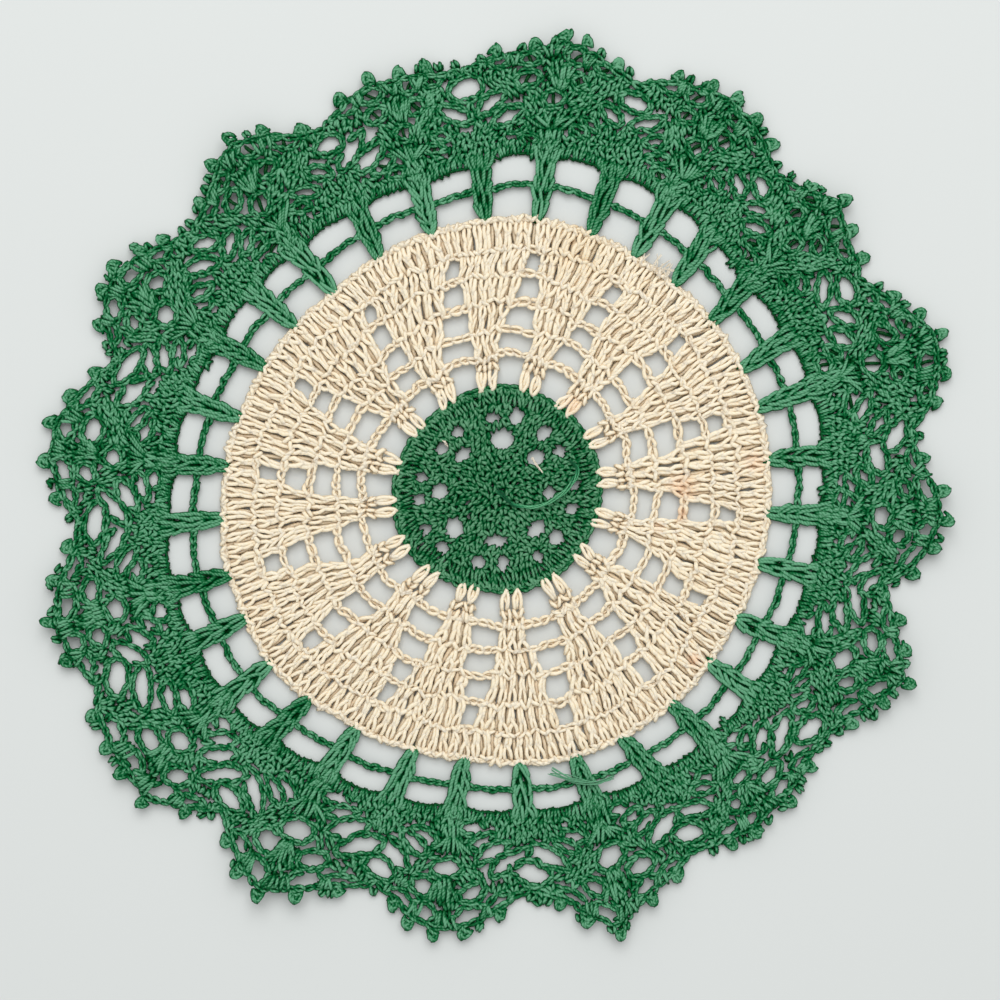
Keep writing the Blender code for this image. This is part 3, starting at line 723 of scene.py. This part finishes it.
# The green lace border
border = {
    "seed": 37,
    "quarters": 4,  # it is worked in so many meshes
    "pitch": 1.98 * mm,
    "net": 85.5,  # radii of an even repeat, in millimetres
    "edge": ((0, 116.0), (3, 114.7), (6, 112.3), (8.5, 110.2), (11.25, 108.7)),
    "footInside": 1.5 * mm,  # how far a spoke hooks over the band's edge
    "topOutside": 0.8 * mm,  # and how far it reaches over the net's edge
    "spokeWidth": 5.4 * mm,
    "chainRound": (1.5, 0.3 * mm, 2.1 * mm, 1.15 * mm),  # inset, bow, its pitch and width
    "arch": 0.068,  # how far the net's gaps are rounded at their outer corners
    "arcs": (0.985, -0.01, 0.085, 0.01),  # how far across these reach, from, to, and stray
    "rounds": (12, 1.3, 1.1),  # of the ground, and the room they leave below and in all
    "baseStitches": 20,  # of the ground across a repeat
    "stray": 0.25,  # how far the ground strays from its rounds, in pitches
    "held": (0.035, 0.975),  # the ground is held in by stitches at these shares
    "margin": 2.45 * mm,  # how far the ground keeps from an opening's rim
    "chains": (0.95 * mm, 2.2 * mm, 1.15 * mm),  # from the rim to the chain, its pitch and width
    "clear": 0.80,  # share of the way to any opening's rim kept clear of these
    "apart": (0.60, 0.85),  # pitches from chain to chain, and from chain to ground
    "openness": (1.13, 0.20, 245, 0.15),  # mean, how much more at which angle, spread
    "openLimits": (0.65, 1.42),
    "crossedWithin": (5, 150),  # the angles between which strands run behind the openings, put there to darken them as shade would
    "crossing": (0.05, 1.2, 2.0, -0.7),  # how they lean, how long and wide they are, how low
    "underPosts": -0.28,  # how low the ground lies under long stitches
    "arms": 0.15,  # how high the arms of the fans lie in the ground
    "posts": (0.40, 0.14),  # how high long stitches lie, and how much their layers differ
    "taper": (0.74, 0.90),  # how much a layer of posts narrows at its base and its top
    "edging": (0.8 * mm, 2.3 * mm, 1.3 * mm),  # how far inside the edge, its pitch and width
    "picot": (2.9 * mm, 0.10, 0.4, 0.2 * mm),  # width, its spread, lean, how far it hooks in
    "end": ((13.9, -73.1, 2.6), (19.4, -75.4, 3.0), (24.6, -76.2, 3.0), (29.5, -75.1, 2.6)),
    "endQuarter": 3,  # where this loose, frayed end of yarn lies
    "endFibres": (0.26 * mm, 9, 1.0 * mm, 14.0),  # how thick, how many, how far apart, how pale
}

# The openings of one repeat, as the solids have them: across from the fan at 0 to the valleys at
# -1 and 1, share from the net at 0 to the edge at 1, and crossed where a strand runs behind, put there
# to darken the opening as shade would
LaceHole = namedtuple("LaceHole", "across share halfWidth halfHeight climb crossed")
laceHoles = [LaceHole(*row) for row in (
    (1, 0.77, 0.17, 0.08, 0, 0), (0.76, 0.54, 0.17, 0.055, 0.05, 0),
    (-0.76, 0.54, 0.17, 0.055, 0.05, 0), (0.56, 0.38, 0.15, 0.042, 0.04, 0),
    (0.04, 0.48, 0.11, 0.055, 0, 1), (0.34, 0.7, 0.1, 0.045, 0, 1), (-0.23, 0.68, 0.1, 0.045, 0, 1),
    (0.33, 0.89, 0.11, 0.038, 0, 1), (-0.17, 0.89, 0.11, 0.038, 0, 1),
    (-0.5, 0.36, 0.13, 0.032, 0.03, 0), (0.42, 0.25, 0.13, 0.026, 0.03, 1),
    (-0.36, 0.25, 0.12, 0.024, 0.02, 1), (0.28, 0.13, 0.11, 0.03, 0, 1),
    (0.62, 0.92, 0.11, 0.03, 0, 0), (-0.52, 0.9, 0.11, 0.03, 0, 1),
)]

# Long stitches over the lace: the two ends of a row's base and of its top, by degrees from the
# fan and radius in millimetres. Without layers they are arms, worked into the ground itself.
LaceRow = namedtuple("LaceRow", "base top count layers")
laceRows = [LaceRow(*row) for row in (
    (((-1.8, 85.4), (1.8, 85.4)), ((-1.7, 92.4), (1.7, 92.4)), 6, 3),
    (((-0.6, 91.4), (0.6, 91.4)), ((-3.9, 96.4), (3.9, 96.4)), 8, 1),
    (((0.9, 98.2), (3.9, 95.8)), ((4.0, 107.6), (8.6, 103.4)), 0, 0),
    (((-3.9, 95.8), (-0.9, 98.2)), ((-8.6, 103.4), (-4.0, 107.6)), 0, 0),
    (((-0.8, 103.2), (1.1, 103.2)), ((-2.3, 109.2), (2.8, 109.2)), 7, 2),
    (((0.2, 111.4), (1.9, 111.2)), ((-0.5, 115.0), (2.9, 114.6)), 5, 1),
    (((-3.9, 108.8), (-2.6, 109.4)), ((-4.6, 112.8), (-2.3, 113.6)), 4, 1),
    (((5.2, 109.0), (6.3, 108.6)), ((4.9, 112.6), (6.9, 112.0)), 4, 1),
)]


def lacePlace(index, across, share):
    # a place in a repeat, by its way across and its share of the lace's height
    if abs(across) > 1:
        side = 1 if across > 0 else -1
        index, across = index + side, across - 2 * side
    row = scallops[index % len(scallops)]
    fan = blend(row.fanTop, row.fanTip, share)
    if across >= 0:
        angle = blend(fan, blend(row.valleyTop, row.valleyTip, share), across)
    else:
        before = scallops[(index - 1) % len(scallops)]
        valley = blend(before.valleyTop, before.valleyTip, share)
        angle = fan - ((fan - valley) % 360) * -across
    angle = float(angle)
    return onDoily(angle, blend(netEdge(angle), ringValue(edgeKnots, angle, False), share))


def onLace(index):
    # a repeat's own way from (degrees from the fan, radius in millimetres) to the doily
    def place(offset, radius):
        offsets, radii = zip(*border["edge"])
        edge = np.interp(abs(offset), offsets, radii)
        share = (radius - border["net"]) / (edge - border["net"])
        return lacePlace(index, offset / offsets[-1], share)
    return place


def acrossAt(column):
    # the way across a repeat to a column of its ground
    return -1 + 2 * (column + 0.5) / border["baseStitches"]


def laceOpenings(random):
    # every opening of the lace, some more open than others
    mean, more, openAt, spread = border["openness"]
    openings = []
    for index, row in enumerate(scallops):
        here = mean + more * cos(radians(row.fanTop - openAt))
        for hole in laceHoles:
            climb = -hole.climb if hole.across > 0 else hole.climb
            centre = lacePlace(index, hole.across, hole.share)[:2]
            end = lacePlace(index, hole.across + hole.halfWidth, hole.share + climb)[:2]
            above = lacePlace(index, hole.across, hole.share + hole.halfHeight)[:2]
            openness = float(np.clip(random.normal(here, spread), *border["openLimits"]))
            openings.append(Opening(centre, (end - centre) * openness,
                                    (above - centre) * openness))
    return openings


def roundsAbout(openings, taken):
    # a round of chain stitches about each opening, but none over another opening or on others
    middles = np.array([opening.middle for opening in openings])
    inverse = inv([np.stack(opening[1:], axis=1) for opening in openings])
    turns = np.linspace(0, 2 * pi, 49)
    taken = np.array(taken)
    outside, pitch, width = border["chains"]
    chains = []
    for opening in openings:
        line = np.outer(np.cos(turns), opening.halfWidth)
        line += np.outer(np.sin(turns), opening.halfHeight)
        line *= 1 + outside / norm(line, axis=1, keepdims=True)
        knots = evenly(line + opening.middle, pitch, 5)
        centres = (knots[:-1] + knots[1:]) / 2
        local = np.einsum("hij,phj->phi", inverse, centres[:, None] - middles)
        kept = norm(local, axis=2).min(axis=1) > border["clear"]
        apart = norm(centres[:, None] - taken, axis=2).min(axis=1)
        kept &= apart > border["apart"][0] * border["pitch"]
        taken = np.concatenate([taken, centres[kept]])
        chains.append(np.stack([knots[:-1], knots[1:]], axis=1)[kept])
    return np.concatenate(chains)


def laceFill():
    # the ground of the lace: for each stitch a place, a direction, a height, a slant and how
    # far out it lies, and the two ends of each chain stitch about the openings
    random = np.random.default_rng(border["seed"])
    pitch = border["pitch"]
    points, fixed = [], []
    openings = laceOpenings(random)
    rounds, below, spare = border["rounds"]
    for index in range(len(scallops)):
        for turn in range(rounds):
            share = (turn + below) / (rounds + spare)
            for column in range(border["baseStitches"]):
                points.append(lacePlace(index, acrossAt(column + 0.5 * (turn % 2)), share)[:2])
        for column in range(border["baseStitches"]):
            fixed += [lacePlace(index, acrossAt(column), share)[:2] for share in border["held"]]
    points = np.array(points)
    points += random.normal(size=points.shape).clip(-2, 2) * pitch * border["stray"]
    chains = roundsAbout(openings, fixed)
    centres = chains.mean(axis=1)
    points = settle(points, [*fixed, *centres], openings, pitch, border["margin"])[0]
    apart = norm(points[:, None] - centres, axis=2).min(axis=1)
    points = points[apart > border["apart"][1] * pitch]
    directions = points / norm(points, axis=1, keepdims=True)
    outs = np.zeros(len(points))
    arms = np.zeros(len(points), dtype=bool)
    for index in range(len(scallops)):
        place = onLace(index)
        for laceRow in laceRows:
            ends = (*laceRow.base, laceRow.top[1], laceRow.top[0])
            corners = [place(*corner)[:2] for corner in ends]
            turns = [np.cross(end - start, points - start) > 0
                     for start, end in pairwise(corners + corners[:1])]
            inside = np.all(turns, axis=0) | ~np.any(turns, axis=0)
            if laceRow.layers:
                outs[inside] = border["underPosts"]
            else:
                rise = sum(corners[2:]) - sum(corners[:2])
                directions[inside] = rise / norm(rise)
                arms |= inside
    outs[arms] = border["arms"]
    heights = np.array([heightAt(point) for point in points])
    slants = random.choice((-1, 1), size=len(points))
    chains = [[np.append(end, heightAt(end)) for end in chain] for chain in chains]
    return (points, directions, heights, slants, outs), np.array(chains)


def layersOf(work, place, laceRow):
    # short posts that overlap, layer on layer
    base, top = np.array(laceRow.base), np.array(laceRow.top)
    layers = laceRow.layers
    out, apart = border["posts"]
    for layer in range(layers):
        low = blend(base, top, layer / layers - 0.5 / layers * (layer > 0))
        high = blend(base, top, (layer + 1) / layers)
        if layers > 1:
            low = blend(low.mean(axis=0), low, border["taper"][0])
            high = blend(high.mean(axis=0), high, border["taper"][1])
        shift = work.random.normal(size=(2, 1)) * 0.10 * (top - base) / layers
        rowOf(work, ("post", "backPost")[layer % 2], place, low + shift, high + shift,
              laceRow.count, heads=False, out=out + apart * (-1) ** layer)


def workSpoke(work, foot, top):
    kind = work.random.choice(list(spokeTiers))
    work.stitch(kind, onDoily(foot, bandEdge(foot) - border["footInside"]),
                onDoily(top, netEdge(top) + border["topOutside"]), border["spokeWidth"],
                slant=work.leaning(), out=0.15)


def chainRadius(angle):
    return blend(bandEdge(angle), netEdge(angle), doily["chainShare"])


def workNet(work, row, following):
    # a repeat's two spokes, and the chain round from spoke to spoke
    feet = [(row.fanFoot, row.fanTop), (row.valleyFoot, row.valleyTop),
            (following.fanFoot, following.fanTop)]
    for foot, top in feet[:2]:
        workSpoke(work, foot, top)
    inset, bow, pitch, width = border["chainRound"]
    share = doily["chainShare"]
    for before, after in pairwise(feet):
        start = blend(*before, share)
        end = start + (blend(*after, share) - start) % 360
        angle = (start + end) / 2
        chainOf(work, onDoily, ((start + inset, chainRadius(start)),
                                (angle, chainRadius(angle) + bow),
                                (end - inset, chainRadius(end))), pitch, width)


def workScallop(work, index):
    row = scallops[index]
    workNet(work, row, scallops[(index + 1) % len(scallops)])
    reach, low, high, stray = border["arcs"]
    for column in range(border["baseStitches"]):
        across = acrossAt(column)
        fromMiddle = min(abs(abs(across) - 0.5) * 2.3, 1)  # of the gap below
        arch = border["arch"] * (1 - (1 - fromMiddle ** 2) ** 0.5)
        base = lacePlace(index, across * reach, low - arch)
        top = lacePlace(index, across + work.random.normal() * stray, high)
        work.stitch("edgeRib", base, top, border["pitch"])
    for laceRow in laceRows:
        if laceRow.layers:
            layersOf(work, onLace(index), laceRow)
    # strands behind some openings darken them, standing in for shade there
    start, end = border["crossedWithin"]
    leaning, length, width, out = border["crossing"]
    for hole in laceHoles:
        if hole.crossed and (row.fanTop - start) % 360 < end - start:
            lean = work.random.normal() * leaning
            reach = hole.halfHeight * length
            work.stitch("backPost", lacePlace(index, hole.across - lean, hole.share - reach),
                        lacePlace(index, hole.across + lean, hole.share + reach),
                        work.yarn * width, out=out)
    workEdge(work, index)


def workEdge(work, index):
    # the edging from valley to valley, and a picot on each of its corners
    row = scallops[index]
    before = scallops[index - 1]
    inside, pitch, width = border["edging"]
    height = doily["picotHeight"]
    start = before.valleyTip - (360 if index == 0 else 0)
    knots = [(start, before.valleyReach * mm - inside)]
    knots += [(angle, reach * mm - height - inside) for angle, reach in row.picots]
    knots.append((row.valleyTip, row.valleyReach * mm - inside))
    chainOf(work, onDoily, knots, pitch, width)
    width, spread, lean, hook = border["picot"]
    for angle, reach in row.picots:
        top = onDoily(angle + work.random.normal() * lean, reach * mm)
        work.stitch("picot", onDoily(angle, reach * mm - height - hook), top,
                    width * (1 + spread * work.random.normal()), out=-0.1)


def workBorder(quarter, ground, chains):
    work = Crochet(border["seed"] + quarter)
    size = len(scallops) // border["quarters"]
    start = scallops[quarter * size - 1].valleyTip
    end = scallops[(quarter + 1) * size - 1].valleyTip

    def within(places):
        turns = (np.degrees(np.arctan2(places[:, 1], places[:, 0])) - start) % 360
        return turns < (end - start) % 360

    for base, top in chains[within(chains.mean(axis=1))]:
        work.stitch("chain", base, top, border["chains"][2], slant=work.leaning(), out=0.1)
    here = within(ground[0])
    fillWith(work, [values[here] for values in ground], border["pitch"])
    for index in range(quarter * size, (quarter + 1) * size):
        workScallop(work, index)
    if quarter == border["endQuarter"]:
        work.fray(np.array(border["end"]) * mm, *border["endFibres"])
    return work


class Socket:
    # a value in a material: its sums, differences, products and powers add Math nodes
    def __init__(self, finish, link):
        self.finish = finish
        self.link = link

    def maths(self, operation, *values):
        return self.finish.node("Math", {"operation": operation}, dict(enumerate(values)))

    def __add__(self, other):
        return self.maths("ADD", self, other)

    def __radd__(self, other):
        return self.maths("ADD", other, self)

    def __sub__(self, other):
        return self.maths("SUBTRACT", self, other)

    def __rsub__(self, other):
        return self.maths("SUBTRACT", other, self)

    def __mul__(self, other):
        return self.maths("MULTIPLY", self, other)

    def __rmul__(self, other):
        return self.maths("MULTIPLY", other, self)

    def __pow__(self, other):
        return self.maths("POWER", self, other)

    def __rpow__(self, other):
        return self.maths("POWER", other, self)


class Finish:
    # a material and its nodes
    def __init__(self, name):
        self.material = bpy.data.materials.new(name)
        self.material.use_nodes = True
        self.tree = self.material.node_tree
        self.surface = self.tree.nodes["Principled BSDF"]

    def node(self, kind, settings=None, values=None, output=0):
        made = self.tree.nodes.new("ShaderNode" + kind)
        for setting, value in (settings or {}).items():
            if setting == "stops":
                while len(made.color_ramp.elements) < len(value):
                    made.color_ramp.elements.new(1.0)
                for element, (position, colour) in zip(made.color_ramp.elements, value):
                    element.position = position
                    element.color = (*colour, 1)
            else:
                setattr(made, setting, value)
        for name, value in (values or {}).items():
            self.feed(made.inputs[name], value)
        return Socket(self, made.outputs[output])

    def feed(self, target, value):
        if isinstance(value, Socket):
            self.tree.links.new(value.link, target)
        elif isinstance(value, tuple) and len(value) != len(target.default_value):
            target.default_value = (*value, 1)
        else:
            target.default_value = value

    def range(self, value, low, high, start=0.0, end=1.0):
        return self.node("MapRange", {"clamp": True},
                         {0: value, 1: low, 2: high, 3: start, 4: end})

    def set(self, **sockets):
        for name, value in sockets.items():
            self.feed(self.surface.inputs[name.replace("_", " ")], value)


# The yarns: lengths in metres, and linear colours of painted shade deep in the crochet, of the
# yarn on it, and of painted highlight on its crests
yarns = {
    "plies": 3,
    "plyTurn": 2.6,  # millimetres along the yarn for one turn of its plies
    "plyDepth": 0.06 * mm,
    "fibre": 0.10 * mm,
    "wander": (350, 2),  # scale and detail of the noise that unsettles the plies
    "wash": (38, 3),  # and of the one that varies the colour
    "green": ((0.0001, 0.047, 0.008), (0.0015, 0.118, 0.033), (0.120, 0.310, 0.178)),
    "border": ((0.0001, 0.048, 0.008), (0.0010, 0.132, 0.037), (0.130, 0.365, 0.215)),
    "ecru": ((0.78, 0.63, 0.45), (0.92, 0.79, 0.59), (0.93, 0.83, 0.66)),
    "end": ((0.004, 0.080, 0.030), (0.030, 0.260, 0.110), (0.160, 0.480, 0.260)),
    "depths": (0.20, 0.90),  # yarn diameters over which it turns from painted shade deep in the crochet to painted highlight on its crests
    "weights": (0.30, 0.30, 0.25, 0.08),  # of plies (painted shade in their grooves), fibres, wash and tone in the colour
}

# Marks on the ecru yarn: x, y and radius in millimetres, how strong, and the tint
stains = (
    (47.6, 0, 5.6, 0.85, (0.94, 0.76, 0.68)), (47.5, -6.5, 3, 0.8, (0.93, 0.70, 0.60)),
    (66.9, 6.8, 3.5, 0.6, (0.96, 0.78, 0.72)), (42, -10.1, 2.5, 0.5, (0.95, 0.78, 0.74)),
    (19.4, 21.4, 3.2, 0.7, (0.93, 0.72, 0.62)), (22.7, 62.3, 11, 0.5, (0.93, 0.86, 0.76)),
    (50.9, -44.5, 2.4, 0.8, (0.90, 0.68, 0.58)),
)


def yarnFinish(name, colours, roughness, glow, stains=()):
    finish = Finish(name)
    place = finish.node("TexCoord", output=3)

    def noise(scale, detail):
        return finish.node("TexNoise", values={"Vector": place, "Scale": scale, "Detail": detail})

    def mark(attribute):
        return finish.node("Attribute", {"attribute_name": attribute}, output=2)

    # plies wind about the yarn: twist holds where a point is around it and how far along. In the
    # colour, the plies paint shade into the grooves between them.
    twist = finish.node("Attribute", {"attribute_name": "twist"}, output=1)
    twistParts = finish.node("SeparateXYZ", values={0: twist}).link.node.outputs
    aside, above, along = (Socket(finish, part) for part in twistParts)
    around = above.maths("ARCTAN2", above, aside)
    around = around + along * (2 * pi / yarns["plyTurn"])
    phase = around * yarns["plies"] + noise(*yarns["wander"]) * 2.5
    ply = phase.maths("SINE", phase) * 0.5 + 0.5
    fibres = noise(0.5 / yarns["fibre"], 3)
    wash = noise(*yarns["wash"])
    # painted shade deep in the crochet and on the sides of a strand, and painted highlight on its
    # crests
    edge = finish.range(above.maths("ABSOLUTE", above), 0.05, 0.75, 0.30, 1.0)
    depth = mark("depth")
    depth = finish.range(depth.maths("ABSOLUTE", depth), *yarns["depths"]) * edge
    plyShare, fibreShare, washShare, toneShare = yarns["weights"]
    # painted shade in the ply grooves, with the yarn's own fibres, wash and tone
    grainAndPlyShade = ply * plyShare + fibres * fibreShare + wash * washShare + mark("tone") * toneShare
    # light runs from painted shade to painted highlight, and carries the yarn's own grain, wash and
    # tone
    light = finish.range(depth * (grainAndPlyShade + 0.55) + grainAndPlyShade * 0.2, 0.05, 1.15)
    colour = finish.node("ValToRGB", {"stops": list(zip((0, 0.53, 1), colours))}, {0: light})
    for x, y, radius, strength, tint in stains:
        away = finish.node("VectorMath", {"operation": "DISTANCE"},
                           {0: place, 1: (x * mm, y * mm, doily["thickness"])}, 1)
        uneven = away + (wash - 0.5) * (radius * mm)
        mask = finish.range(uneven, radius * mm * 0.3, radius * mm, strength, 0)
        colour = finish.node("Mix", {"data_type": "RGBA", "blend_type": "MULTIPLY"},
                             {0: mask, 6: colour, 7: tint}, 2)
    bump = finish.node("Bump", values={"Strength": 0.8, "Distance": yarns["plyDepth"],
                                       "Height": ply ** 0.6 * 0.8 + fibres * 0.25})
    rough = finish.range(fibres, 0.3, 0.8, roughness - 0.08, roughness + 0.10)
    finish.set(Base_Color=colour, Roughness=rough, Normal=bump, Specular_IOR_Level=0.09,
               Subsurface_Weight=glow, Subsurface_Scale=1.2 * mm,
               Subsurface_Radius=(1.0, 0.92, 0.78))
    return finish.material


green = yarnFinish("green yarn", yarns["green"], 0.38, 0.0)
borderGreen = yarnFinish("border green yarn", yarns["border"], 0.38, 0.0)
ecru = yarnFinish("ecru yarn", yarns["ecru"], 0.6, 0.4, stains)
endGreen = yarnFinish("pale green yarn end", yarns["end"], 0.38, 0.0)
print("yarns dyed")


def triangles(piece):
    return sum(len(face.vertices) - 2 for face in piece.data.polygons)


def fasten(piece, yarn, node):
    piece.data.materials.append(yarn)
    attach(piece, "root")
    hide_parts(node)


def dress(work, name, yarn, node):
    # two meshes of one piece, its front loops and its back loops
    face = work.mesh(name + "FrontLoops", True)
    under = work.mesh(name + "BackLoops", False)
    fasten(face, yarn, node)
    fasten(under, yarn, node)
    print(name, triangles(face), "and", triangles(under), "triangles")


dress(workMiddle(), "middle", green, "centre")
dress(workBand(), "ecruBand", ecru, "band")
laceGround, laceChains = laceFill()
print("lace ground has", len(laceGround[0]), "and", len(laceChains), "stitches")
for quarter in range(border["quarters"]):
    dress(workBorder(quarter, laceGround, laceChains), f"laceBorder{quarter + 1}", borderGreen,
          "border")

# Floor, camera and light
stage = {
    "floorSize": 1.6,
    "floor": (0.660, 0.698, 0.708),
    "cameraHeight": 0.614,
    "lens": 85,
    "middle": (0.00065, -0.0031),
    "windowSize": 1.2,
    "windowPower": 15.2,
    "windowPlace": (0.02, 0.75, 1.30),
    "windowTarget": (0, 0.03, 0),
    "light": (1.0, 0.985, 0.955),
    "room": 0.63,  # how bright the room around is
}

bpy.ops.mesh.primitive_plane_add(size=stage["floorSize"], location=(0, 0, -0.0001))
floor = bpy.context.object
floor.name = "floor"
floorFinish = Finish("pale floor")
floorFinish.set(Base_Color=stage["floor"], Roughness=0.85)
floor.data.materials.append(floorFinish.material)


def placeInScene(name, data, place):
    holder = bpy.data.objects.new(name, data)
    holder.location = place
    bpy.context.scene.collection.objects.link(holder)
    return holder


camera = placeInScene("camera", bpy.data.cameras.new("camera"),
                      (*stage["middle"], stage["cameraHeight"]))
camera.data.sensor_width = 36
camera.data.lens = stage["lens"]
bpy.context.scene.camera = camera
bpy.context.scene.view_settings.view_transform = "Standard"

window = placeInScene("window", bpy.data.lights.new("window", "AREA"), stage["windowPlace"])
window.data.size = stage["windowSize"]
window.data.energy = stage["windowPower"]
window.data.color = stage["light"]
toTarget = Vector(stage["windowTarget"]) - Vector(stage["windowPlace"])
window.rotation_euler = toTarget.to_track_quat("-Z", "Y").to_euler()

world = bpy.data.worlds.new("studio")
world.use_nodes = True
background = world.node_tree.nodes["Background"]
background.inputs["Color"].default_value = (*stage["light"], 1)
background.inputs["Strength"].default_value = stage["room"]
bpy.context.scene.world = world

# The loose yarn end on the middle
yarnEnd = {
    "seed": 5,
    "route": ((-0.2, -0.6, 0.0), (2.4, -2.9, 0.2), (4.7, -4.4, 0.6), (9.4, -4.7, 1.1),
              (14.4, -3.1, 1.2), (18.8, 0.4, 0.9), (20.7, 4.6, 0.5), (18.6, 7.1, 0.1)),
    "rest": 2.9 * mm,  # how high it lies at its lowest
    "points": 60,
    "diameter": 0.95 * mm,
    "plies": 4,
    "plyWidth": 0.34 * mm,
    "apart": 0.50 * mm,
    "turns": 2.5,
}


def workYarnEnd():
    corners = np.array(yarnEnd["route"]) * mm
    corners[:, 2] += yarnEnd["rest"]
    path = curveWeights(len(corners), yarnEnd["points"]) @ corners
    work = Crochet(yarnEnd["seed"])
    along = np.linspace(0, 1, len(path))
    for ply in range(yarnEnd["plies"]):
        turn = 2 * pi * (ply / yarnEnd["plies"] + along * yarnEnd["turns"])
        apart = yarnEnd["apart"] * (0.6 + 0.4 * np.sin(along * 9 + ply))
        offset = np.stack([np.cos(turn), np.sin(turn), 0.6 * np.sin(turn + 1)], axis=1)
        work.strand(path + offset * apart[:, None], yarnEnd["plyWidth"])
    piece = work.mesh("yarnEnd", True)
    fasten(piece, endGreen, "yarn_end")
    length = float(norm(np.diff(path, axis=0), axis=1).sum())
    print("yarn end is", round(length / mm, 1), "mm long")


workYarnEnd()
